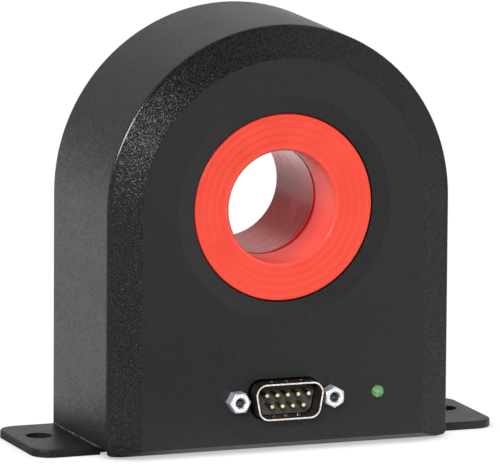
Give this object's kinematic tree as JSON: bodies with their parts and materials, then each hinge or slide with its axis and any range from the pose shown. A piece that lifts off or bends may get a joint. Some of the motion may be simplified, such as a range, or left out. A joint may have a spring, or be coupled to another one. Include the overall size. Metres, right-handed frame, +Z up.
{
  "type": "current sensor",
  "caption": "Arch-topped current sensor on a foot plate: a cable passes through its stepped round bushing, and a D connector on the front carries the signal.",
  "frame": {"origin": "midway between the two foot holes, on the mounting plane", "axes": "+X to the right seen from the front, -Y out of the front, +Z up from the mounting plane"},
  "size_m": [0.1224, 0.0484, 0.1068],
  "materials": {
    "cast_housing": "black powder coat, fine grain on the flat front and coarse grain on the bevel",
    "plate_metal": "black powder coat on sheet metal",
    "screw_steel": "plain steel",
    "bushing": "red moulded plastic, slightly glossy",
    "connector_tin": "nickel-plated pressed steel",
    "black_plastic": "dark moulded plastic",
    "pin_gold": "gold plate",
    "zinc": "bright zinc plate",
    "lamp_lens": "green tinted clear plastic",
    "lead_tin": "tin plate",
    "board": "green solder resist",
    "silicone": "grey thermal pad",
    "capacitor_sleeve": "dark blue shrink sleeve",
    "ivory_plastic": "ivory moulded plastic",
    "copper_wire": "enamelled copper wire",
    "foam_rubber": "black cushioning rubber",
    "shield_steel": "annealed shield steel",
    "core_metal": "wound alloy tape"
  },
  "bodies": {
    "root": {"housing_shell": "cast_housing", "rear_cover": "plate_metal", "cover_screws": "screw_steel", "base_plate": "plate_metal", "base_screws": "screw_steel", "front_bushing": "bushing", "rear_bushing": "bushing", "connector_shell": "connector_tin", "connector_body": "black_plastic", "connector_pins": "pin_gold", "jack_screws": "zinc", "jack_nuts": "zinc", "status_led": "lamp_lens", "led_leads": "lead_tin", "main_board": "board", "board_spacers": "zinc", "board_screws": "screw_steel", "transistor_bodies": "black_plastic", "transistor_frames": "lead_tin", "transistor_pads": "silicone", "transistor_screws": "screw_steel", "filter_capacitors": "capacitor_sleeve", "control_chips": "black_plastic", "head_header": "ivory_plastic", "head_leads": "copper_wire", "front_head_ring": "ivory_plastic", "rear_head_ring": "foam_rubber", "compensation_winding": "copper_wire", "shield_cup_front": "shield_steel", "shield_cup_rear": "shield_steel", "probe_winding_a": "copper_wire", "probe_core_a": "core_metal", "probe_winding_b": "copper_wire", "probe_core_b": "core_metal", "ripple_core": "core_metal"}
  },
  "joints": []
}
